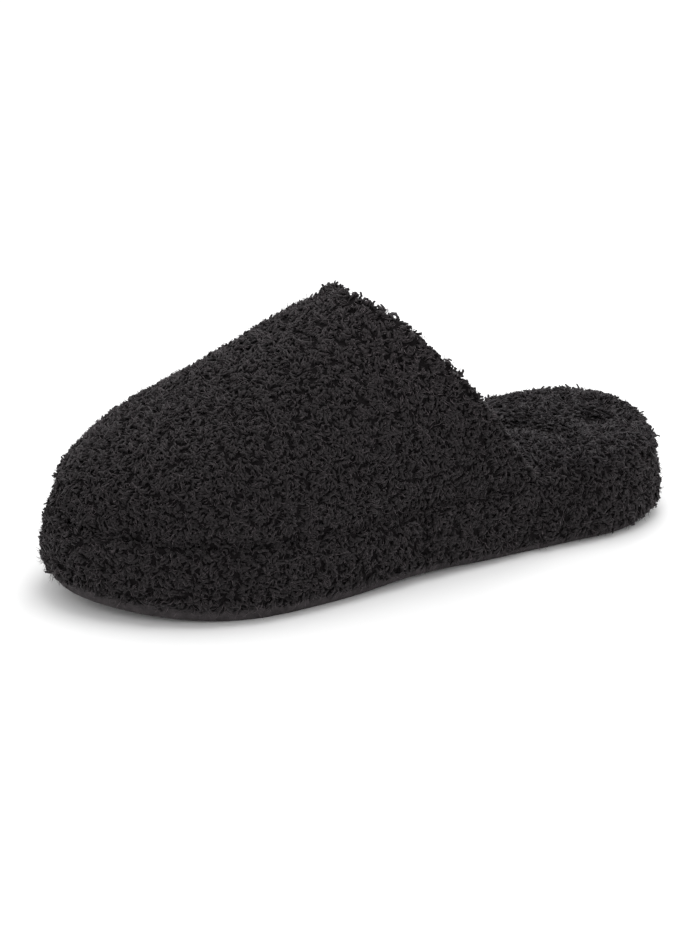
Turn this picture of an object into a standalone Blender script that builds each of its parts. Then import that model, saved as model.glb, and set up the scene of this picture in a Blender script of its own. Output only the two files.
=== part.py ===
"""Clog slipper for the left foot: a backless fleece vamp on a fleece-wrapped platform.

Metres, +X to the toe, +Y to the wearer's left, +Z up. It stands on z = 0, with the origin under
the middle of its box. "Along" is the share of the length from the back of the heel to the toe.
"""

from collections import namedtuple

import bmesh
import bpy
import numpy as np

# Driving sizes
LENGTH = 0.268
BALL_WIDTH = 0.1045
INSTEP_HEIGHT = 0.1115
FOOTBED_HEIGHT = 0.0394
FOOTBED_THICKNESS = 0.0065
WALL = 0.005
GAP = 0.0003
TOE_SPRING = 0.0070
ARCH_LIFT = 0.0016
HEEL_LIFT = 0.002

# Where the tread leaves the floor
SPRING_START = 0.74
ARCH_START = 0.34
ARCH_END = 0.62
HEEL_LIFT_END = 0.07

# Rounded ends of the plan: how far each reaches in, and how square it is
HEEL_ROUND = 0.165
HEEL_SQUARENESS = 2.15
TOE_ROUND = 0.31
TOE_SQUARENESS = 2.1

# Vamp
COLLAR_CORNER = 0.27
FAN_START = 0.872
COLLAR_SWEEP = 0.94
SECTION_SQUARENESS = 2.45
BULGE_RISE = 0.008
BULGE_INSET = 0.001
TOE_SETBACK = 0.005
SETBACK_START = 0.80
SEAM_INSET = 0.0030
COLLAR_ROUND = 0.0018
COLLAR_ROUND_STEPS = 3

# Footbed edge: inside the platform's rim at the heel, inside the vamp's wall further forward
OPEN_EDGE_INSET = 0.0028
CLEAR_OF_WALL = 0.0012
EDGE_TURN_START = 0.175
EDGE_TURN_END = 0.262

# Facets
RING_POINTS = 112
SIDE_RIBS = 22
TOE_RIBS = 9
LOW_STEPS = 4
HIGH_STEPS = 12
SLOPE_STEP = 0.001

Plan = namedtuple("Plan", "along centre half_width")
PLAN = (
    Plan(0.00, 0.000, 0.408),
    Plan(0.15, 0.000, 0.408),
    Plan(0.42, -0.010, 0.435),
    Plan(0.70, -0.005, 0.500),
    Plan(0.86, -0.034, 0.510),
    Plan(1.00, -0.067, 0.470),
)

Deck = namedtuple("Deck", "along height")
DECK = (
    Deck(0.00, 0.826),
    Deck(0.20, 0.826),
    Deck(0.45, 0.735),
    Deck(0.70, 0.782),
    Deck(1.00, 0.785),
)

Sole = namedtuple("Sole", "along thickness")
SOLE = (
    Sole(0.00, 0.0024),
    Sole(0.30, 0.0028),
    Sole(0.55, 0.0038),
    Sole(0.75, 0.0048),
    Sole(1.00, 0.0044),
)

Crest = namedtuple("Crest", "along height slope")
APEX = Crest(0.530, 1.000, -0.48)
FRONT = Crest(0.842, 0.629, -0.41)

Step = namedtuple("Step", "height inset")
OUTSOLE_SIDE = (
    Step(0.00, 0.0056),
    Step(0.25, 0.0046),
    Step(0.75, 0.0042),
    Step(1.00, 0.0042),
)
BAND_SIDE = (
    Step(0.00, 0.0040),
    Step(0.05, 0.0014),
    Step(0.16, 0.0003),
    Step(0.40, 0.0000),
    Step(0.72, 0.0004),
    Step(0.88, 0.0010),
    Step(0.96, 0.0018),
    Step(1.00, 0.0030),
)
FOOTBED_SIDE = (
    Step(0.00, 0.0000),
    Step(0.30, 0.0006),
    Step(0.60, 0.0024),
    Step(0.85, 0.0056),
    Step(1.00, 0.0105),
)

FLEECE_COLOUR = (0.020, 0.018, 0.019, 1.0)
OUTSOLE_COLOUR = (0.045, 0.043, 0.044, 1.0)


def smooth_curve(table, column, along):
    """Natural cubic spline through one column of a table, read at each value of along."""
    known = np.array([row.along for row in table])
    value = np.array([getattr(row, column) for row in table])
    width = np.diff(known)
    slope = np.diff(value) / width
    count = len(known)
    matrix = np.eye(count)
    target = np.zeros(count)
    for i in range(1, count - 1):
        matrix[i, i - 1 : i + 2] = width[i - 1], 2 * (width[i - 1] + width[i]), width[i]
        target[i] = 6 * (slope[i] - slope[i - 1])
    bend = np.linalg.solve(matrix, target)
    i = np.clip(np.searchsorted(known, along) - 1, 0, count - 2)
    after = along - known[i]
    before = known[i + 1] - along
    curved = (bend[i] * before**3 + bend[i + 1] * after**3) / (6 * width[i])
    left = (value[i] / width[i] - bend[i] * width[i] / 6) * before
    right = (value[i + 1] / width[i] - bend[i + 1] * width[i] / 6) * after
    return curved + left + right


def smooth_step(share):
    return share * share * (3 - 2 * share)


def between(value, start, end):
    return np.clip((value - start) / (end - start), 0, 1)


def end_rounding(along):
    """Share of the half width that is left as the plan rounds in at the heel and the toe."""
    heel = np.clip(1 - along / HEEL_ROUND, 0, 1)
    toe = np.clip(1 - (1 - along) / TOE_ROUND, 0, 1)
    at_heel = (1 - heel**HEEL_SQUARENESS) ** (1 / HEEL_SQUARENESS)
    at_toe = (1 - toe**TOE_SQUARENESS) ** (1 / TOE_SQUARENESS)
    return at_heel * at_toe


def centre_line(along):
    return smooth_curve(PLAN, "centre", along) * BALL_WIDTH


def along_of(turn):
    """Turn goes from 0 at the heel along the outer side to pi at the toe, then back on the inner side."""
    return (1 - np.cos(turn)) / 2


def turn_of(along, inner):
    turn = np.arccos(np.clip(1 - 2 * along, -1, 1))
    return np.where(inner, 2 * np.pi - turn, turn)


def widest_line(turn):
    along = along_of(turn)
    side = np.where(np.mod(turn, 2 * np.pi) <= np.pi, 1.0, -1.0)
    half = smooth_curve(PLAN, "half_width", along) * BALL_WIDTH * end_rounding(along)
    return np.stack([along * LENGTH, centre_line(along) + side * half], -1)


def plan_points(turn, inset):
    """Plan points set in from the widest line, square to it."""
    ahead = widest_line(turn + SLOPE_STEP)
    behind = widest_line(turn - SLOPE_STEP)
    travel = ahead - behind
    outward = np.stack([-travel[:, 1], travel[:, 0]], -1)
    outward /= np.linalg.norm(outward, axis=1)[:, None]
    return widest_line(turn) - outward * np.broadcast_to(inset, turn.shape)[:, None]


def floor_clearance(along):
    """Height of the tread above the floor: none at the flat spots of heel and forefoot."""
    spring = TOE_SPRING * between(along, SPRING_START, 1.0) ** 2
    arch = ARCH_LIFT * np.sin(np.pi * between(along, ARCH_START, ARCH_END)) ** 2
    heel = HEEL_LIFT * between(along, HEEL_LIFT_END, 0.0) ** 2
    return spring + arch + heel


def outsole_top(along):
    return floor_clearance(along) + smooth_curve(SOLE, "thickness", along)


def deck_top(along):
    """Top of the platform, which carries the footbed and the vamp's edge."""
    return smooth_curve(DECK, "height", along) * FOOTBED_HEIGHT + floor_clearance(along)


def band_bottom(along):
    return outsole_top(along) + GAP


def footbed_bottom(along):
    return deck_top(along) + GAP


def footbed_top(along):
    return footbed_bottom(along) + FOOTBED_THICKNESS


def ridge_height(along):
    """Cubic along the instep, from the collar's apex to the front, with a slope at each end."""
    run = (FRONT.along - APEX.along) * LENGTH
    u = (along - APEX.along) / (FRONT.along - APEX.along)
    fall = (APEX.height + (FRONT.height - APEX.height) * smooth_step(u)) * INSTEP_HEIGHT
    leave = APEX.slope * run * u * (1 - u) ** 2
    arrive = FRONT.slope * run * u**2 * (u - 1)
    return fall + leave + arrive


RING = np.arange(RING_POINTS) * 2 * np.pi / RING_POINTS
RING_WIDTHS = widest_line(RING)[:, 1]
MIDDLE = np.array([LENGTH / 2, (RING_WIDTHS.max() + RING_WIDTHS.min()) / 2, 0.0])


def toe_setback(along):
    """The vamp leans back from the platform's edge as it comes round the toe."""
    return TOE_SETBACK * smooth_step(between(along, SETBACK_START, 1.0))


def footbed_inset(turn):
    """The footbed fills the rim at the open heel and draws in to clear the vamp's wall."""
    along = along_of(turn)
    covered = smooth_step(between(along, EDGE_TURN_START, EDGE_TURN_END))
    under_vamp = SEAM_INSET + WALL + CLEAR_OF_WALL + toe_setback(along)
    return OPEN_EDGE_INSET + (under_vamp - OPEN_EDGE_INSET) * covered


def slab_rings(side, bottom, top, edge_inset):
    """One closed ring of points for each step of a slab's side, from its bottom up."""
    rings = []
    for step in side:
        plan = plan_points(RING, edge_inset + step.inset)
        along = plan[:, 0] / LENGTH
        height = bottom(along) + step.height * (top(along) - bottom(along))
        rings.append(np.column_stack([plan, height]))
    return rings


def slab_mesh(name, rings):
    """Joins the rings, and closes top and bottom with rungs from the outer to the inner side."""
    form = bmesh.new()
    rows = [[form.verts.new(point) for point in ring - MIDDLE] for ring in rings]
    for low, high in zip(rows, rows[1:]):
        for k in range(RING_POINTS):
            after = (k + 1) % RING_POINTS
            form.faces.new((low[k], high[k], high[after], low[after]))
    for row in (rows[0], rows[-1]):
        for k in range(RING_POINTS // 2):
            corners = [row[k], row[-k], row[-k - 1], row[k + 1]]
            form.faces.new(list(dict.fromkeys(corners)))
    bmesh.ops.recalc_face_normals(form, faces=form.faces)
    return finished_mesh(name, form)


def finished_mesh(name, form):
    mesh = bpy.data.meshes.new(name)
    form.to_mesh(mesh)
    form.free()
    mesh.shade_smooth()
    return mesh


def vamp_turns():
    """A turn for each rib, from the outer collar corner round the toe to the inner one."""
    start, fan = turn_of(np.array([COLLAR_CORNER, FAN_START]), False)
    side = np.linspace(start, fan, SIDE_RIBS + 1)
    toe = np.linspace(fan, np.pi, TOE_RIBS + 1)[1:]
    outer = np.concatenate([side, toe])
    return np.concatenate([outer, 2 * np.pi - outer[-2::-1]])


def vamp_points():
    """Rows of points over the vamp, one for each height, each with a point for every rib.

    A rib climbs from the seam, swells to the bulge and arches over to the ridge. The ribs at the
    collar lean forward with it, and those of the toe fan out from the ridge's front end.
    """
    turn = vamp_turns()
    inner = turn > np.pi
    start, fan = turn_of(np.array([COLLAR_CORNER, FAN_START]), False)
    forward = between(np.minimum(turn, 2 * np.pi - turn), start, fan)
    ridge_along = APEX.along + (FRONT.along - APEX.along) * np.sin(forward * np.pi / 2)
    ridge = np.stack([ridge_along * LENGTH, centre_line(ridge_along), ridge_height(ridge_along)])
    drop = ridge_height(ridge_along) - ridge_height(ridge_along - SLOPE_STEP)
    ridge_slope = drop / (SLOPE_STEP * LENGTH)
    foot_along = along_of(turn)
    bulge_share = BULGE_RISE / (ridge[2] - deck_top(foot_along))
    rows = []
    for climb in np.linspace(0, 1, LOW_STEPS + 1):
        lean = (1 - forward) * (1 - bulge_share * climb) ** COLLAR_SWEEP + forward
        along = ridge_along + (foot_along - ridge_along) * lean
        bulge_inset = BULGE_INSET + toe_setback(along)
        inset = SEAM_INSET + (bulge_inset - SEAM_INSET) * smooth_step(climb)
        plan = plan_points(turn_of(along, inner), inset)
        height = deck_top(along) + GAP + BULGE_RISE * climb
        rows.append(np.column_stack([plan, height]))
    bulge = rows[-1].T
    for angle in np.linspace(0, np.pi / 2, HIGH_STEPS + 1)[1:]:
        level = np.sin(angle) ** (2 / SECTION_SQUARENESS)
        spread = max(np.cos(angle), 0.0) ** (2 / SECTION_SQUARENESS)
        if angle == np.pi / 2:
            spread = 0.0
        lean = (1 - forward) * (1 - level) ** COLLAR_SWEEP + forward * spread
        x = ridge[0] + (bulge[0] - ridge[0]) * lean
        y = ridge[1] + (bulge[1] - ridge[1]) * spread
        crown = ridge[2] + ridge_slope * (x - ridge[0])
        z = bulge[2] + (crown - bulge[2]) * level
        rows.append(np.column_stack([x, y, z]))
    return rows


def vamp_mesh(name):
    """The vamp's outer face, as an open surface."""
    form = bmesh.new()
    rows = [[form.verts.new(point) for point in row - MIDDLE] for row in vamp_points()]
    for low, high in zip(rows, rows[1:]):
        for k in range(len(low) - 1):
            form.faces.new((low[k], high[k], high[k + 1], low[k + 1]))
    bmesh.ops.remove_doubles(form, verts=form.verts, dist=GAP / 100)
    return finished_mesh(name, form)


def material(name, colour, roughness):
    made = bpy.data.materials.new(name)
    made.use_nodes = True
    shader = made.node_tree.nodes["Principled BSDF"]
    shader.inputs["Base Color"].default_value = colour
    shader.inputs["Roughness"].default_value = roughness
    shader.inputs["Metallic"].default_value = 0.0
    return made


def add_part(collection, mesh, finish):
    part = bpy.data.objects.new(mesh.name, mesh)
    part.data.materials.append(finish)
    collection.objects.link(part)
    return part


def add_upper(collection, finish):
    """The vamp with its wall, rounded along the collar."""
    upper = add_part(collection, vamp_mesh("upper"), finish)
    collar = upper.vertex_groups.new(name="collar")
    ribs = len(vamp_turns())
    steps = LOW_STEPS + HIGH_STEPS
    ends = [row * ribs + end for row in range(steps) for end in (0, ribs - 1)]
    collar.add(ends + [steps * ribs], 1.0, "REPLACE")
    wall = upper.modifiers.new("wall", "SOLIDIFY")
    wall.thickness = WALL
    wall.offset = -1
    wall.use_even_offset = False
    edge = upper.modifiers.new("collar edge", "BEVEL")
    edge.limit_method = "VGROUP"
    edge.vertex_group = "collar"
    edge.width = COLLAR_ROUND
    edge.segments = COLLAR_ROUND_STEPS
    return upper


def main():
    for old in list(bpy.data.objects):
        bpy.data.objects.remove(old)
    slipper = bpy.data.collections.new("clog slipper")
    bpy.context.scene.collection.children.link(slipper)

    outsole = slab_rings(OUTSOLE_SIDE, floor_clearance, outsole_top, 0.0)
    add_part(slipper, slab_mesh("outsole", outsole), material("outsole", OUTSOLE_COLOUR, 0.75))

    band = slab_rings(BAND_SIDE, band_bottom, deck_top, 0.0)
    add_part(slipper, slab_mesh("wrapped_midsole", band), material("band fleece", FLEECE_COLOUR, 1.0))

    footbed = slab_rings(FOOTBED_SIDE, footbed_bottom, footbed_top, footbed_inset(RING))
    add_part(slipper, slab_mesh("insole", footbed), material("footbed fleece", FLEECE_COLOUR, 1.0))

    add_upper(slipper, material("upper fleece", FLEECE_COLOUR, 1.0))


main()
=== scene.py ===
# A clog slipper in black curly fleece: a fleece upper, a fleece band wrapped round the midsole,
# a fleece footbed and a thin rubber outsole. Lengths are in metres, +X is the toe, +Y the outer side.
import math
from collections import namedtuple

import bmesh
import bpy
import numpy as np
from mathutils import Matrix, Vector
from mathutils.bvhtree import BVHTree
from mathutils.kdtree import KDTree


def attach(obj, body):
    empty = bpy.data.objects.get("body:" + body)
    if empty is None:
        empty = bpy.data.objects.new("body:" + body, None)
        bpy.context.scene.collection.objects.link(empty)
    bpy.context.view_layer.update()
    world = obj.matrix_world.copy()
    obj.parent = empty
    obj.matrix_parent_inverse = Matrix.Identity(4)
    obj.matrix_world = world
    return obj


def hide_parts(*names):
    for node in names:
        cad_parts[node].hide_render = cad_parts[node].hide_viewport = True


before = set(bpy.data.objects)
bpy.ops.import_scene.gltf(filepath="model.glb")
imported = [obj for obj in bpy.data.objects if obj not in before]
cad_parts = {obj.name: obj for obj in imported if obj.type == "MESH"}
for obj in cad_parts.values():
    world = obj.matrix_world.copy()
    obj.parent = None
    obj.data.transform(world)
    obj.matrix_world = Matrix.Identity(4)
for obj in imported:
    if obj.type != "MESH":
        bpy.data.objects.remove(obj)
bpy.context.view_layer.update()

# The camera, at the photograph's angle
PHOTO_WIDTH = 700
PHOTO_HEIGHT = 933
VIEW_AZIMUTH = math.radians(152.46)
VIEW_ELEVATION = math.radians(21.84)
VIEW_DISTANCE = 1.300
VIEW_TARGET = np.array([0.0, 0.0, 0.040])
FOCAL_PIXELS = 3219.3
AXIS_PIXEL = (359.3, 453.0)
SENSOR = 36.0
NEAREST_SEEN = 0.05

# The cloth that the pile grows from, and how deep the pile is. Where band and footbed meet, the cloth is set
# in less, so that the pile closes over the joint. The upper's lower edge is tucked into the band. Near the
# sole the curls hang over its edge, and they lie flat on the ground. A face is told by how far it points up.
MM2 = 1e6
WELD = 1e-6
LEAST_LENGTH = 1e-12
LONGEST_EDGE = 0.0040
EDGE_SPLITS = 3
OUTER_PILE = 0.0017
LINING_PILE = 0.0015
HEEL_FILL = 1.2
HEEL_FILL_REACH = 0.0075
SEAM_REACH = 0.0032
SEAM_TUCK = 0.0050
SEAM_TUCK_REACH = 0.0012
UNDERSIDE = -0.6
GROUND = 0.0004
GROUND_SQUASH = 0.1
HANG_REACH = 0.0075
HANG_GROWTH = 0.45

# How the pile runs over the shoe: downwards, in swirls, with fuller and thinner patches
NAP_RUN = np.array([0.25, 0.0, -1.0])
SWIRL_SIZE = 0.010
SWIRL_SEED = 3
SWIRL_TURN = 1.5
SWIRL_LOOSENESS = 0.8
CLUMP_SIZE = 0.007
CLUMP_SEED = 5
CLUMP_GROWTH = 0.12
PRESSED_GROWTH = 200.0
LEAST_GROWTH = 0.6
MOST_GROWTH = 1.4
FIELD_WAVES = 14
WAVE_SPREAD = (0.7, 1.3)

# How light a lock is, on a scale of 0 to 1
SHADE_COLUMNS = 48
COLUMN_MARGIN = 0.1
SHADE_MIDDLE = 0.5
TUFT_SHADE = 0.12
STRAND_SHADE = 0.12
CLUMP_SHADE = 0.05
# Painted shade: a lock's lightness drops by this much for each metre of depth in seams, grooves and dimples,
# and in the upper's table of painted shade and highlight, where a negative depth paints a highlight
PAINTED_SHADE_BY_DEPTH = 170.0

# How a lock of pile is shaped: where its rings and tip stand along it, how thick it is at each ring,
# its length, the angle it curls through, its half thickness, its rise off the backing, how far its curl is
# tipped up, and how many make a tuft, how far they stand from its middle and how loosely they follow it
Lock = namedtuple("Lock", "along taper length turn thick rise tip_low tip_high in_tuft stray loose")
CURL = Lock(
    along=(0.0, 0.45, 0.86, 1.0), taper=(0.7, 1.0, 0.8), length=0.0033, turn=2.2, thick=0.00057, rise=0.0010,
    tip_low=-0.2, tip_high=0.45, in_tuft=3, stray=0.00052, loose=0.35,
)
HAIR = Lock(
    along=(0.0, 0.5, 1.0), taper=(1.0, 0.8), length=0.0030, turn=1.5, thick=0.00010, rise=0.0019,
    tip_low=0.1, tip_high=1.1, in_tuft=3, stray=0.00080, loose=0.70,
)
TUFT_TRIES = 6.0
TUFT_PACKING = 0.62
LOCK_SIDES = 3
ROOT_CAP_MAP = ((0.9, 0.0), (0.5, 0.06), (0.1, 0.0))
LENGTH_SPREAD = (0.7, 1.25)
TURN_SPREAD = (0.6, 1.25)
RISE_SPREAD = (0.6, 1.15)
THICK_SPREAD = (0.75, 1.25)
RISE_ARC = 2.0
NAP_STRAY = 1e-3
ASIDE_LEAN = 0.2

# Soft forms sunk into the fleece, which also get painted shade, darker the deeper they go: grooves by length
# and height, dimples by length and width
Groove = namedtuple("Groove", "start end depth width")
BAND_SEAM = Groove((-0.0086, 0.0277), (-0.0046, 0.0080), 0.0024, 0.0017)
BAND_CREASE = Groove((0.0238, 0.0270), (0.0268, 0.0100), 0.0006, 0.0020)
HEEL_CREASE = Groove((-0.0850, 0.0318), (-0.0527, 0.0060), 0.0009, 0.0050)
Dimple = namedtuple("Dimple", "along across depth width")
FOOTBED_DIMPLES = (
    Dimple(-0.0740, -0.0045, 0.0036, 0.0060),
    Dimple(-0.0832, 0.0105, 0.0032, 0.0055),
    Dimple(-0.1064, 0.0080, 0.0036, 0.0055),
)

# How deep the seam between upper and band sinks in, along the shoe; its locks grow shorter and get painted
# shade
Seam = namedtuple("Seam", "along depth")
SEAM = (
    Seam(-0.050, 0.0000),
    Seam(-0.035, 0.0005),
    Seam(-0.020, 0.0007),
    Seam(0.010, 0.0005),
    Seam(0.050, 0.0005),
    Seam(0.066, 0.0012),
    Seam(0.080, 0.0023),
    Seam(0.116, 0.0026),
    Seam(0.123, 0.0010),
)

# Where the fleece stands out from the solid under it, or sinks in where the rise is negative
Bulge = namedtuple("Bulge", "along across up rise width")
BULGES = (
    Bulge(0.004, 0.016, 0.108, 0.0012, 0.010),
    Bulge(-0.003, 0.028, 0.1015, 0.0018, 0.012),
    Bulge(0.006, 0.006, 0.1098, 0.0014, 0.008),
    Bulge(0.006, -0.010, 0.1092, -0.0034, 0.009),
    Bulge(0.004, -0.020, 0.1070, -0.0022, 0.010),
    Bulge(0.015, -0.020, 0.102, -0.0007, 0.018),
    Bulge(-0.006, -0.024, 0.102, 0.0014, 0.008),
    Bulge(-0.1275, 0.024, 0.011, 0.0018, 0.011),
    Bulge(-0.128, 0.020, 0.031, -0.0012, 0.008),
    Bulge(-0.128, 0.010, 0.037, -0.0022, 0.010),
    Bulge(-0.115, -0.020, 0.0395, 0.0009, 0.020),
    Bulge(0.127, -0.021, 0.037, -0.0012, 0.010),
    Bulge(0.1295, -0.012, 0.010, 0.0012, 0.011),
)

# Painted light on the upper's pile: painted shade low on its outer side by the collar, where the rise is
# positive and the locks also grow shorter, and a painted highlight along the collar's edge and over the
# instep, where the rise is negative and only the colour changes
PAINTED_SHADE_AND_HIGHLIGHT = (
    Bulge(-0.022, 0.045, 0.044, 0.0008, 0.020),
    Bulge(0.006, 0.006, 0.1080, -0.0026, 0.018),
    Bulge(-0.002, 0.030, 0.0980, -0.0024, 0.016),
    Bulge(-0.015, 0.037, 0.0800, -0.0022, 0.016),
    Bulge(0.016, 0.026, 0.0900, -0.0012, 0.024),
)

Surface = namedtuple("Surface", "points normals triangles")


def unit(vectors):
    return vectors / np.maximum(np.linalg.norm(vectors, axis=-1, keepdims=True), LEAST_LENGTH)


def swell(points, size, seed):
    """A smooth random field over the points, about as wide as size from crest to crest, spread about 1."""
    draw = np.random.default_rng(seed)
    waves = unit(draw.normal(size=(FIELD_WAVES, 3))) * draw.uniform(*WAVE_SPREAD, (FIELD_WAVES, 1))
    phases = draw.uniform(0.0, 2.0 * math.pi, FIELD_WAVES)
    crests = np.sin(points @ waves.T * (2.0 * math.pi / size) + phases)
    return crests.sum(axis=1) / math.sqrt(FIELD_WAVES / 2)


def fine_surface(node):
    """A node's points, their outward directions and its triangles, with the long edges split."""
    cloth = bmesh.new()
    cloth.from_mesh(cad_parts[node].data)
    bmesh.ops.remove_doubles(cloth, verts=cloth.verts, dist=WELD)
    for _ in range(EDGE_SPLITS):
        long_edges = [edge for edge in cloth.edges if edge.calc_length() > LONGEST_EDGE]
        if long_edges:
            bmesh.ops.subdivide_edges(cloth, edges=long_edges, cuts=1)
        bmesh.ops.triangulate(cloth, faces=cloth.faces)
    cloth.normal_update()
    cloth.verts.index_update()
    points = np.array([vert.co for vert in cloth.verts])
    normals = np.array([vert.normal for vert in cloth.verts])
    triangles = np.array([[vert.index for vert in face.verts] for face in cloth.faces])
    cloth.free()
    return Surface(points, normals, triangles)


def centres(surface):
    middles = surface.points[surface.triangles].mean(axis=1)
    return middles, unit(surface.normals[surface.triangles].mean(axis=1))


def eased(share):
    share = np.clip(share, 0.0, 1.0)
    return share * share * (3.0 - 2.0 * share)


def nearness(points, other, reach):
    """How near each point is to another surface: 1 where they touch, 0 from the reach on."""
    tree = BVHTree.FromPolygons(other.points.tolist(), other.triangles.tolist())
    gaps = np.array([tree.find_nearest(Vector(point))[3] for point in points])
    return eased(1.0 - gaps / reach)


def seam_press(surface, other):
    """How deep each point sinks in at the seam between two surfaces; this depth also sets the painted shade
    there.
    """
    places = [place.along for place in SEAM]
    depths = [place.depth for place in SEAM]
    return np.interp(surface.points[:, 0], places, depths) * nearness(surface.points, other, SEAM_REACH)


def bulged(points, bulges=BULGES):
    """How far the fleece stands out at each point by a table of bulges, or sinks in where a rise is
    negative; with the upper's table of painted shade and highlight, how much shade or highlight is painted
    there.
    """
    rise = np.zeros(len(points))
    for bulge in bulges:
        distance = np.linalg.norm(points - np.array([bulge.along, bulge.across, bulge.up]), axis=1)
        rise += bulge.rise * np.exp(-((distance / bulge.width) ** 2))
    return rise


def set_in(surface, depth):
    return surface._replace(points=surface.points - depth[:, None] * surface.normals)


def add_piece(name, points, faces, finish):
    mesh = bpy.data.meshes.new(name)
    mesh.from_pydata(points, [], faces)
    mesh.shade_smooth()
    mesh.materials.append(finish)
    piece = bpy.data.objects.new(name, mesh)
    bpy.context.scene.collection.objects.link(piece)
    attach(piece, "root")
    return piece


def spaced(places, spacing, draw):
    """Which places stay, taken in random order, when none may be nearer to another than its spacing."""
    tree = KDTree(len(places))
    for index, place in enumerate(places):
        tree.insert(place, index)
    tree.balance()
    free = np.ones(len(places), bool)
    kept = []
    for index in draw.permutation(len(places)):
        if free[index]:
            kept.append(index)
            for _, near, _ in tree.find_range(places[index], spacing[index]):
                free[near] = False
    return np.array(kept)


def scattered(surface, values, density, draw):
    """Places spread evenly over a surface, so many to the square metre of each triangle, and the direction
    and the value at each."""
    corners = surface.points[surface.triangles]
    spans = np.cross(corners[:, 1] - corners[:, 0], corners[:, 2] - corners[:, 0])
    total = np.cumsum(np.linalg.norm(spans, axis=1) / 2 * density * TUFT_TRIES)
    picks = np.searchsorted(total, np.arange(int(total[-1])) + draw.random())
    first = np.sqrt(draw.random(len(picks)))
    second = draw.random(len(picks))
    weights = np.stack([1 - first, first * (1 - second), first * second], axis=1)
    chosen = surface.triangles[picks]
    places = (surface.points[chosen] * weights[:, :, None]).sum(axis=1)
    kept = spaced(places, np.sqrt(TUFT_PACKING / density[picks]), draw)
    directions = unit((surface.normals[chosen] * weights[:, :, None]).sum(axis=1))
    return places[kept], directions[kept], (values[chosen] * weights).sum(axis=1)[kept]


def lock_pattern(along):
    """One lock's triangles, and for each corner its place round the lock and along it."""
    triangles = [(2, 1, 0)]
    corners = [ROOT_CAP_MAP]
    rings = len(along) - 1
    for ring in range(rings - 1):
        for side in range(LOCK_SIDES):
            near = ring * LOCK_SIDES + side
            near_next = ring * LOCK_SIDES + (side + 1) % LOCK_SIDES
            far = near + LOCK_SIDES
            far_next = near_next + LOCK_SIDES
            left, right = side / LOCK_SIDES, (side + 1) / LOCK_SIDES
            low, high = along[ring], along[ring + 1]
            triangles += [(near, near_next, far_next), (near, far_next, far)]
            corners.append(((left, low), (right, low), (right, high)))
            corners.append(((left, low), (right, high), (left, high)))
    last = (rings - 1) * LOCK_SIDES
    for side in range(LOCK_SIDES):
        triangles.append((last + side, last + (side + 1) % LOCK_SIDES, rings * LOCK_SIDES))
        left, right = side / LOCK_SIDES, (side + 1) / LOCK_SIDES
        low, high = along[-2], along[-1]
        corners.append(((left, low), (right, low), ((left + right) / 2, high)))
    return np.array(triangles), np.array(corners)


def curled(roots, normals, swirl, bend, size, lock, draw):
    """The points of curled locks that grow from the roots: rings round each curl, then its tip."""
    count = len(roots)
    across = unit(np.cross(normals, draw.normal(size=(count, 3))))
    nap = unit(NAP_RUN - normals * (normals @ NAP_RUN)[:, None] + NAP_STRAY * across)
    heading = np.cos(swirl)[:, None] * nap + np.sin(swirl)[:, None] * np.cross(normals, nap)
    bend_to = np.cross(normals, heading) * bend[:, None]
    tip_up = draw.uniform(lock.tip_low, lock.tip_high, count)[:, None]
    bend_to = np.cos(tip_up) * bend_to + np.sin(tip_up) * normals
    length = lock.length * draw.uniform(*LENGTH_SPREAD, count) * size
    turn = lock.turn * draw.uniform(*TURN_SPREAD, count)
    along = np.array(lock.along)
    angle = turn[:, None] * along
    radius = (length / turn)[:, None]
    rise = (lock.rise * size * draw.uniform(*RISE_SPREAD, count))[:, None] * np.sin(along * RISE_ARC)
    path = roots[:, None] + (radius * np.sin(angle))[..., None] * heading[:, None]
    path = path + (radius * (1.0 - np.cos(angle)))[..., None] * bend_to[:, None]
    path = path + rise[..., None] * normals[:, None]
    forward = unit(np.gradient(path, axis=1))
    aside = unit(np.cross(forward, normals[:, None] + ASIDE_LEAN * across[:, None]))
    above = np.cross(aside, forward)
    thick = lock.thick * draw.uniform(*THICK_SPREAD, count)[:, None] * np.array(lock.taper)
    rings = []
    for corner in range(LOCK_SIDES):
        turned = 2.0 * math.pi * corner / LOCK_SIDES
        spoke = math.cos(turned) * aside[:, :-1] - math.sin(turned) * above[:, :-1]
        rings.append(path[:, :-1] + thick[..., None] * spoke)
    rings = np.stack(rings, axis=2).reshape(count, -1, 3)
    return np.concatenate([rings, path[:, -1:]], axis=1)


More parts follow.
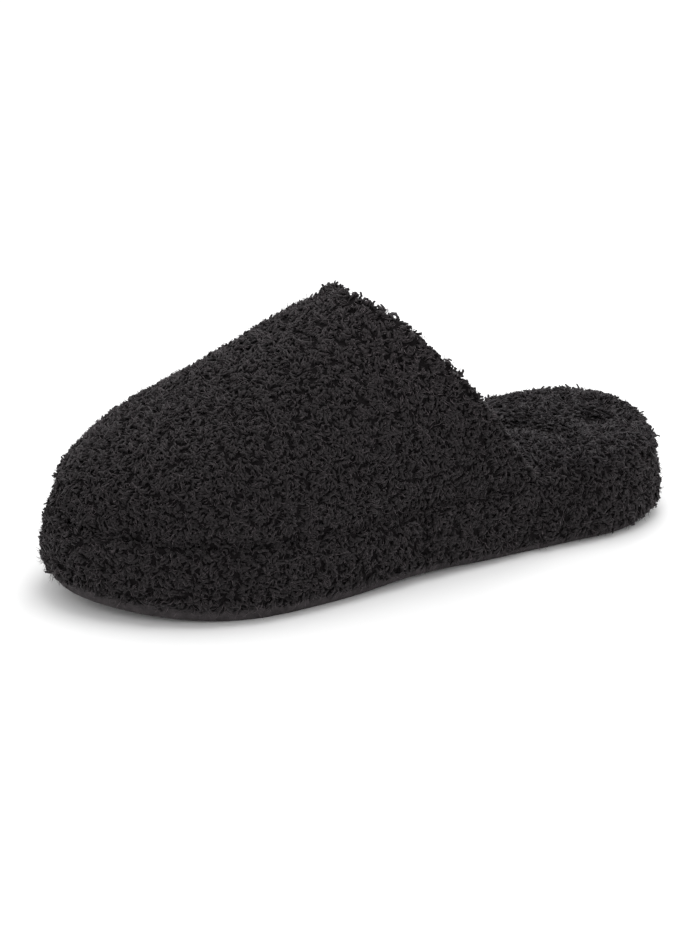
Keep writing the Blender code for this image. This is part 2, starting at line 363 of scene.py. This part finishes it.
def cover(name, surface, press_and_painted_light, density, finish, seed, lock=CURL):
    """Grows pile from a surface in tufts, so many locks to the square metre of each triangle. A lock's map
    lies in the column of its shade, from root to tip. Near the sole the locks hang straight down."""
    draw = np.random.default_rng(seed)
    tufts, upright, dip_and_painted_light = scattered(surface, press_and_painted_light, density / lock.in_tuft, draw)
    clump = swell(tufts, CLUMP_SIZE, CLUMP_SEED)
    swirl = SWIRL_TURN * swell(tufts, SWIRL_SIZE, SWIRL_SEED)
    swirl = swirl + draw.normal(0.0, SWIRL_LOOSENESS, len(tufts))
    shade = SHADE_MIDDLE + TUFT_SHADE * draw.normal(size=len(tufts))
    # Painted shade from the depth of seams, grooves and dimples, and the upper's painted shade and highlight
    shade = shade + CLUMP_SHADE * clump - PAINTED_SHADE_BY_DEPTH * dip_and_painted_light
    hang = nearness(tufts, sole, HANG_REACH)
    swirl = swirl * (1.0 - hang)
    size = 1.0 + CLUMP_GROWTH * clump - PRESSED_GROWTH * np.maximum(dip_and_painted_light, 0.0)
    size = np.clip(size + HANG_GROWTH * hang, LEAST_GROWTH, MOST_GROWTH)
    bend = draw.choice([-1.0, 1.0], len(tufts))
    by_tuft = (tufts, upright, swirl, bend, shade, size)
    by_lock = [np.repeat(values, lock.in_tuft, axis=0) for values in by_tuft]
    roots, upright, swirl, bend, shade, size = by_lock
    count = len(roots)
    aside = unit(np.cross(upright, draw.normal(size=(count, 3))))
    roots = roots + aside * draw.rayleigh(lock.stray, count)[:, None]
    swirl = swirl + draw.normal(0.0, lock.loose, count)
    shade = shade + STRAND_SHADE * draw.normal(size=count)

    points = curled(roots, upright, swirl, bend, size, lock, draw)
    points[..., 2] -= (1.0 - GROUND_SQUASH) * np.minimum(points[..., 2] - GROUND, 0.0)
    pattern, corners = lock_pattern(lock.along)
    faces = (pattern[None] + points.shape[1] * np.arange(count)[:, None, None]).reshape(-1, 3)
    piece = add_piece(name, points.reshape(-1, 3), faces, finish)
    column = np.clip((shade * SHADE_COLUMNS).astype(int), 0, SHADE_COLUMNS - 1)
    spread = COLUMN_MARGIN + corners[..., 0] * (1.0 - 2.0 * COLUMN_MARGIN)
    map_across = (column[:, None, None] + spread[None]) / SHADE_COLUMNS
    map_along = np.broadcast_to(corners[None, ..., 1], map_across.shape)
    layer = piece.data.uv_layers.new(name="OFBake")
    layer.uv.foreach_set("vector", np.stack([map_across, map_along], axis=-1).astype(np.float32).ravel())


def groove_depth(points, groove):
    """How deep a straight groove, given in length and height, presses in at each point."""
    start, end = np.array(groove.start), np.array(groove.end)
    flat = points[:, [0, 2]] - start
    run = end - start
    share = np.clip(flat @ run / (run @ run), 0.0, 1.0)
    distance = np.linalg.norm(flat - share[:, None] * run, axis=1)
    return groove.depth * np.exp(-((distance / groove.width) ** 2))


def band_depth(points):
    outer_side = points[:, 1] > 0.0
    grooves = (BAND_SEAM, BAND_CREASE, HEEL_CREASE)
    return outer_side * sum(groove_depth(points, groove) for groove in grooves)


def footbed_depth(points):
    depth = np.zeros(len(points))
    for dimple in FOOTBED_DIMPLES:
        distance = np.hypot(points[:, 0] - dimple.along, points[:, 1] - dimple.across)
        depth += dimple.depth * np.exp(-((distance / dimple.width) ** 2))
    return depth


# Finishes: how many fibres go round a lock and how far they streak its colour, where along it the root's
# colour has gone over into the tone, and what the pile, the backing, the rubber and the floor are like
BLACK = (0.0, 0.0, 0.0, 1.0)
FIBRES = 4.0
FIBRE_WAVE = 0.5
FIBRE_STREAKS = 0.4
FIBRE_BUMP = 0.5
FIBRE_DEPTH = 0.0001
TONE_FULL = 0.45
GRAIN_SCALE = 1100.0
PATCH_SCALE = 420.0
GRAIN_DETAIL = 3.0
PATCH_DETAIL = 4.0
PILE_ROUGHNESS = 0.62
PILE_SPECULAR = 0.26
PILE_SHEEN = 0.22
PILE_SHEEN_ROUGHNESS = 0.45
PILE_SHEEN_TINT = (0.30, 0.28, 0.29, 1)
Grained = namedtuple("Grained", "roughness specular dark light scale patch_scale bump depth")
FLEECE_CLOTH = Grained(
    roughness=0.9, specular=0.1, dark=(0.0042, 0.0034, 0.0037), light=(0.0088, 0.0072, 0.0078),
    scale=GRAIN_SCALE, patch_scale=PATCH_SCALE, bump=0.8, depth=0.0006,
)
SOLE_RUBBER = Grained(
    roughness=0.75, specular=0.25, dark=(0.0030, 0.0025, 0.0027), light=(0.0720, 0.0620, 0.0655),
    scale=1300.0, patch_scale=380.0, bump=0.8, depth=0.0006,
)
FLOOR_ROUGHNESS = 0.9
FLOOR_SPECULAR = 0.1
FLOOR_COLOUR = (0.95, 0.95, 0.95, 1)
PILE_ROOT = (0.0052, 0.0041, 0.0044)
PILE_DARK = (0.0060, 0.0046, 0.0051)
PILE_LIGHT = (0.0162, 0.0128, 0.0140)
FOOTBED_LIGHT = (0.0126, 0.0098, 0.0121)
# Painted highlight: the stray hairs are coloured far lighter than the curls, standing in for light that they
# catch and let through at the edges
PAINTED_LIT_HAIR_DARK = (0.0340, 0.0280, 0.0302)
PAINTED_LIT_HAIR_LIGHT = (0.1250, 0.1060, 0.1130)


def add_node(nodes, kind, **settings):
    node = nodes.new(kind)
    for name, value in settings.items():
        setattr(node, name, value)
    return node


def node_group(name, inputs, outputs):
    group = bpy.data.node_groups.new(name, "ShaderNodeTree")
    for socket, kind, value in inputs:
        made = group.interface.new_socket(socket, in_out="INPUT", socket_type=kind)
        made.default_value = value
    for socket, kind in outputs:
        group.interface.new_socket(socket, in_out="OUTPUT", socket_type=kind)
    return group, group.nodes.new("NodeGroupInput"), group.nodes.new("NodeGroupOutput")


def math_node(group, operation, *values):
    """A Math node fed by sockets or plain numbers."""
    node = add_node(group.nodes, "ShaderNodeMath", operation=operation)
    for place, value in enumerate(values):
        if isinstance(value, (int, float)):
            node.inputs[place].default_value = value
        else:
            group.links.new(value, node.inputs[place])
    return node.outputs[0]


def mixed_colour(group, share, first, second):
    node = add_node(group.nodes, "ShaderNodeMix", data_type="RGBA")
    group.links.new(share, node.inputs["Factor"])
    group.links.new(first, node.inputs["A"])
    group.links.new(second, node.inputs["B"])
    return node.outputs["Result"]


def lock_shade_group():
    """Colour of a lock from its shade column and from root to tip, with the fine fibres along it."""
    inputs = [(name, "NodeSocketColor", BLACK) for name in ("Root", "Dark", "Light")]
    inputs += [("Fibres", "NodeSocketFloat", FIBRES), ("Streaks", "NodeSocketFloat", FIBRE_STREAKS)]
    outputs = [("Colour", "NodeSocketColor"), ("Fibre Height", "NodeSocketFloat")]
    group, given, put = node_group("lock_shade", inputs, outputs)
    place = add_node(group.nodes, "ShaderNodeUVMap", uv_map="OFBake")
    parts = group.nodes.new("ShaderNodeSeparateXYZ")
    group.links.new(place.outputs["UV"], parts.inputs[0])
    column = math_node(group, "MULTIPLY", parts.outputs["X"], float(SHADE_COLUMNS))
    whole = math_node(group, "FLOOR", column)
    shade = math_node(group, "DIVIDE", whole, float(SHADE_COLUMNS - 1))
    round_lock = math_node(group, "SUBTRACT", column, whole)
    fibre = math_node(group, "MULTIPLY", round_lock, given.outputs["Fibres"])
    wave = math_node(group, "PINGPONG", fibre, FIBRE_WAVE)
    group.links.new(wave, put.inputs["Fibre Height"])
    streaked = math_node(group, "MULTIPLY_ADD", wave, given.outputs["Streaks"], shade)
    tone = mixed_colour(group, streaked, given.outputs["Dark"], given.outputs["Light"])
    tipwards = group.nodes.new("ShaderNodeMapRange")
    tipwards.interpolation_type = "SMOOTHSTEP"
    tipwards.inputs["From Max"].default_value = TONE_FULL
    group.links.new(parts.outputs["Y"], tipwards.inputs["Value"])
    colour = mixed_colour(group, tipwards.outputs[0], given.outputs["Root"], tone)
    group.links.new(colour, put.inputs["Colour"])
    return group


def grain_group():
    """Fine uneven grain in the solid: a height for bump and a mask for colour."""
    inputs = [("Scale", "NodeSocketFloat", GRAIN_SCALE), ("Patch Scale", "NodeSocketFloat", PATCH_SCALE)]
    outputs = [("Height", "NodeSocketFloat"), ("Patches", "NodeSocketFloat")]
    group, given, put = node_group("fine_grain", inputs, outputs)
    place = group.nodes.new("ShaderNodeTexCoord")
    layers = (("Scale", "Height", GRAIN_DETAIL), ("Patch Scale", "Patches", PATCH_DETAIL))
    for scale, output, detail in layers:
        noise = group.nodes.new("ShaderNodeTexNoise")
        noise.inputs["Detail"].default_value = detail
        group.links.new(place.outputs["Object"], noise.inputs["Vector"])
        group.links.new(given.outputs[scale], noise.inputs["Scale"])
        group.links.new(noise.outputs["Fac"], put.inputs[output])
    return group


LOCK_SHADE = lock_shade_group()
FINE_GRAIN = grain_group()


def new_finish(name, roughness, specular):
    finish = bpy.data.materials.new(name)
    finish.use_nodes = True
    shader = finish.node_tree.nodes["Principled BSDF"]
    shader.inputs["Roughness"].default_value = roughness
    shader.inputs["Specular IOR Level"].default_value = specular
    return finish, finish.node_tree, shader


def placed_group(tree, group, **values):
    node = add_node(tree.nodes, "ShaderNodeGroup", node_tree=group)
    for name, value in values.items():
        node.inputs[name.replace("_", " ")].default_value = value
    return node


def add_bump(tree, shader, height, strength, distance):
    bump = tree.nodes.new("ShaderNodeBump")
    bump.inputs["Strength"].default_value = strength
    bump.inputs["Distance"].default_value = distance
    tree.links.new(height, bump.inputs["Height"])
    tree.links.new(bump.outputs["Normal"], shader.inputs["Normal"])


def pile_finish(name, root, dark, light):
    finish, tree, shader = new_finish(name, PILE_ROUGHNESS, PILE_SPECULAR)
    colours = {"Root": (*root, 1), "Dark": (*dark, 1), "Light": (*light, 1)}
    shade = placed_group(tree, LOCK_SHADE, **colours, Fibres=FIBRES, Streaks=FIBRE_STREAKS)
    tree.links.new(shade.outputs["Colour"], shader.inputs["Base Color"])
    add_bump(tree, shader, shade.outputs["Fibre Height"], FIBRE_BUMP, FIBRE_DEPTH)
    shader.inputs["Sheen Weight"].default_value = PILE_SHEEN
    shader.inputs["Sheen Roughness"].default_value = PILE_SHEEN_ROUGHNESS
    shader.inputs["Sheen Tint"].default_value = PILE_SHEEN_TINT
    return finish


def grained_finish(name, look):
    finish, tree, shader = new_finish(name, look.roughness, look.specular)
    grain = placed_group(tree, FINE_GRAIN, Scale=look.scale, Patch_Scale=look.patch_scale)
    mix = add_node(tree.nodes, "ShaderNodeMix", data_type="RGBA")
    mix.inputs["A"].default_value = (*look.dark, 1)
    mix.inputs["B"].default_value = (*look.light, 1)
    tree.links.new(grain.outputs["Patches"], mix.inputs["Factor"])
    tree.links.new(mix.outputs["Result"], shader.inputs["Base Color"])
    add_bump(tree, shader, grain.outputs["Height"], look.bump, look.depth)
    return finish


UPPER_PILE = pile_finish("upper_curls", PILE_ROOT, PILE_DARK, PILE_LIGHT)
BAND_PILE = pile_finish("band_curls", PILE_ROOT, PILE_DARK, PILE_LIGHT)
FOOTBED_PILE = pile_finish("footbed_curls", PILE_ROOT, PILE_DARK, FOOTBED_LIGHT)
# The stray hairs' finish, with their painted highlight
PAINTED_LIT_FUZZ = pile_finish("stray_hairs_painted_lit", PILE_DARK, PAINTED_LIT_HAIR_DARK, PAINTED_LIT_HAIR_LIGHT)
BACKING = grained_finish("fleece_backing", FLEECE_CLOTH)
RUBBER = grained_finish("outsole_rubber", SOLE_RUBBER)


def add_backing(name, node, surface):
    """The cloth that the pile grows from: the node's form, set in by the depth of the pile."""
    piece = add_piece(name, surface.points, surface.triangles, BACKING)
    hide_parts(node)


# The solids under the fleece, how many locks grow on a square metre, and the seeds
upper = fine_surface("upper")
band = fine_surface("wrapped_midsole")
footbed = fine_surface("insole")
sole = fine_surface("outsole")
PILE_DENSITY = 0.72 * MM2
FUZZ_DENSITY = 0.36 * MM2
UPPER_SEEDS = {"outer": 11, "inner": 12, "lining": 13, "fuzz": 14}
BAND_SEEDS = {"outer": 21, "inner": 22, "fuzz": 24}
FOOTBED_SEEDS = {"pile": 31, "fuzz": 34}

# Upper: the outer cloth is deep, the lining is thinner
AXIS_HEIGHT = 0.045
AXIS_AHEAD = 0.020
AXIS_END = 0.085
MOUTH_END = 0.03
LINING_DENSITY = 0.36 * MM2
TOE_LINING_DENSITY = 0.16 * MM2


def faces_out(places, directions):
    """True where a place on the upper faces away from the foot, false on the lining."""
    ahead = np.minimum(places[:, 0] + AXIS_AHEAD, AXIS_END)
    level = np.full(len(places), AXIS_HEIGHT)
    axis = np.stack([ahead, np.zeros(len(places)), level], axis=1)
    return ((places - axis) * directions).sum(axis=1) > 0.0


outside = faces_out(upper.points, upper.normals)
depth = np.where(outside, OUTER_PILE, LINING_PILE)
# The upper's seam depth plus its painted shade and highlight
press_and_painted_light = seam_press(upper, band) + bulged(upper.points, PAINTED_SHADE_AND_HIGHLIGHT)
away = np.where(outside, 1.0, -1.0)
upper_cloth = set_in(upper, depth - away * bulged(upper.points))
upper_cloth.points[:, 2] -= SEAM_TUCK * nearness(upper.points, band, SEAM_TUCK_REACH)
add_backing("upper_backing", "upper", upper_cloth)
middles, directions = centres(upper)
outer = faces_out(middles, directions)
shows = directions[:, 2] > UNDERSIDE
lateral = middles[:, 1] > 0.0
for side, here in (("outer", lateral), ("inner", ~lateral)):
    density = PILE_DENSITY * (outer & shows & here)
    name = "upper_pile_" + side
    cover(name, upper_cloth, press_and_painted_light, density, UPPER_PILE, UPPER_SEEDS[side])
density = FUZZ_DENSITY * (outer & shows)
cover("upper_fuzz", upper_cloth, press_and_painted_light, density, PAINTED_LIT_FUZZ, UPPER_SEEDS["fuzz"], HAIR)
density = np.where(middles[:, 0] < MOUTH_END, LINING_DENSITY, TOE_LINING_DENSITY)
density = density * (~outer & shows)
cover("lining_pile", upper_cloth, press_and_painted_light, density, FOOTBED_PILE, UPPER_SEEDS["lining"])

# Band: fleece wrapped round the midsole, with a strip of its deck showing along the upper
DECK_SHOWS = 0.010
DECK_LEVEL = 0.8
BAND_UPRIGHT = 0.3
BAND_UNDERSIDE = -0.9
grooves = band_depth(band.points)
# The band's groove and seam depth, which also set its painted shade
press_and_painted_light = grooves + seam_press(band, upper)
depth = OUTER_PILE * (1.0 - HEEL_FILL * nearness(band.points, footbed, HEEL_FILL_REACH))
depth = depth * (band.normals[:, 2] > BAND_UNDERSIDE)
band_cloth = set_in(band, depth + grooves - bulged(band.points))
add_backing("band_backing", "wrapped_midsole", band_cloth)
middles, directions = centres(band)
edge = band.points[np.abs(band.normals[:, 2]) < BAND_UPRIGHT][:, :2]
from_edge = np.min(np.linalg.norm(middles[:, None, :2] - edge[None], axis=2), axis=1)
not_deck = (directions[:, 2] < DECK_LEVEL) | (from_edge < DECK_SHOWS)
shows = (directions[:, 2] > BAND_UNDERSIDE) & not_deck
lateral = middles[:, 1] > 0.0
for side, here in (("outer", lateral), ("inner", ~lateral)):
    density = PILE_DENSITY * (shows & here)
    cover("band_pile_" + side, band_cloth, press_and_painted_light, density, BAND_PILE, BAND_SEEDS[side])
cover("band_fuzz", band_cloth, press_and_painted_light, FUZZ_DENSITY * shows, PAINTED_LIT_FUZZ, BAND_SEEDS["fuzz"], HAIR)

# Footbed
FOOTBED_UNDERSIDE = -0.3
FOOTBED_OPEN_END = 0.0
INNER_DENSITY = 0.22 * MM2
FOOTBED_FUZZ = 0.5
# The footbed's dimple depth, which also sets its painted shade
press_and_painted_light = footbed_depth(footbed.points)
depth = OUTER_PILE * (1.0 - HEEL_FILL * nearness(footbed.points, band, HEEL_FILL_REACH))
depth = depth * (footbed.normals[:, 2] > FOOTBED_UNDERSIDE)
footbed_cloth = set_in(footbed, depth + press_and_painted_light - bulged(footbed.points))
add_backing("footbed_backing", "insole", footbed_cloth)
middles, directions = centres(footbed)
density = np.where(middles[:, 0] < FOOTBED_OPEN_END, PILE_DENSITY, INNER_DENSITY)
density = density * (directions[:, 2] > FOOTBED_UNDERSIDE)
cover("footbed_pile", footbed_cloth, press_and_painted_light, density, FOOTBED_PILE, FOOTBED_SEEDS["pile"])
density = FOOTBED_FUZZ * density
cover("footbed_fuzz", footbed_cloth, press_and_painted_light, density, PAINTED_LIT_FUZZ, FOOTBED_SEEDS["fuzz"], HAIR)

# Outsole
SHARP_ANGLE = math.radians(40.0)
outsole = add_piece("outsole_rubber", sole.points, sole.triangles, RUBBER)
outsole.data.set_sharp_from_angle(angle=SHARP_ANGLE)
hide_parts("outsole")

# Floor, light and camera
FLOOR_SIZE = 8.0
FLOOR_DROP = 0.0002
Lamp = namedtuple("Lamp", "name place target size power")
LAMPS = (
    Lamp("overhead", (-0.03, 0.05, 0.70), (0.0, 0.0, 0.0), 0.5, 2.0),
    Lamp("rear", (-0.50, -0.50, 0.60), (0.0, 0.0, 0.05), 0.5, 1.4),
)
WORLD_COLOUR = (1.0, 1.0, 1.0, 1)
WORLD_STRENGTH = 1.0


def add_floor():
    half = FLOOR_SIZE / 2
    mesh = bpy.data.meshes.new("floor")
    corners = [(-half, -half), (half, -half), (half, half), (-half, half)]
    mesh.from_pydata([(x, y, -FLOOR_DROP) for x, y in corners], [], [(0, 1, 2, 3)])
    finish, _, shader = new_finish("pale_floor", FLOOR_ROUGHNESS, FLOOR_SPECULAR)
    shader.inputs["Base Color"].default_value = FLOOR_COLOUR
    mesh.materials.append(finish)
    floor = bpy.data.objects.new("floor", mesh)
    bpy.context.scene.collection.objects.link(floor)


def aim(holder, place, target):
    """Sets an object at a place, its -Z axis towards the target and its +Y axis up."""
    holder.location = place
    holder.rotation_euler = Vector(target - place).to_track_quat("-Z", "Y").to_euler()


def add_light(lamp):
    light = bpy.data.lights.new(lamp.name, "AREA")
    light.shape = "DISK"
    light.size = lamp.size
    light.energy = lamp.power
    holder = bpy.data.objects.new(lamp.name, light)
    aim(holder, np.array(lamp.place), np.array(lamp.target))
    bpy.context.scene.collection.objects.link(holder)


def add_camera():
    lens = bpy.data.cameras.new("camera")
    lens.sensor_width = SENSOR
    lens.lens = FOCAL_PIXELS / PHOTO_HEIGHT * SENSOR
    lens.shift_x = (PHOTO_WIDTH / 2 - AXIS_PIXEL[0]) / PHOTO_HEIGHT
    lens.shift_y = (AXIS_PIXEL[1] - PHOTO_HEIGHT / 2) / PHOTO_HEIGHT
    lens.clip_start = NEAREST_SEEN
    camera = bpy.data.objects.new("camera", lens)
    level = math.cos(VIEW_ELEVATION)
    sideways = math.sin(VIEW_AZIMUTH) * level
    backwards = -math.cos(VIEW_AZIMUTH) * level
    away = np.array([sideways, backwards, math.sin(VIEW_ELEVATION)])
    aim(camera, VIEW_TARGET + VIEW_DISTANCE * away, VIEW_TARGET)
    bpy.context.scene.collection.objects.link(camera)
    bpy.context.scene.camera = camera


add_floor()
for lamp in LAMPS:
    add_light(lamp)
add_camera()
world = bpy.data.worlds.new("studio")
world.use_nodes = True
sky = world.node_tree.nodes["Background"]
sky.inputs["Color"].default_value = WORLD_COLOUR
sky.inputs["Strength"].default_value = WORLD_STRENGTH
bpy.context.scene.world = world
bpy.context.scene.view_settings.view_transform = "Standard"
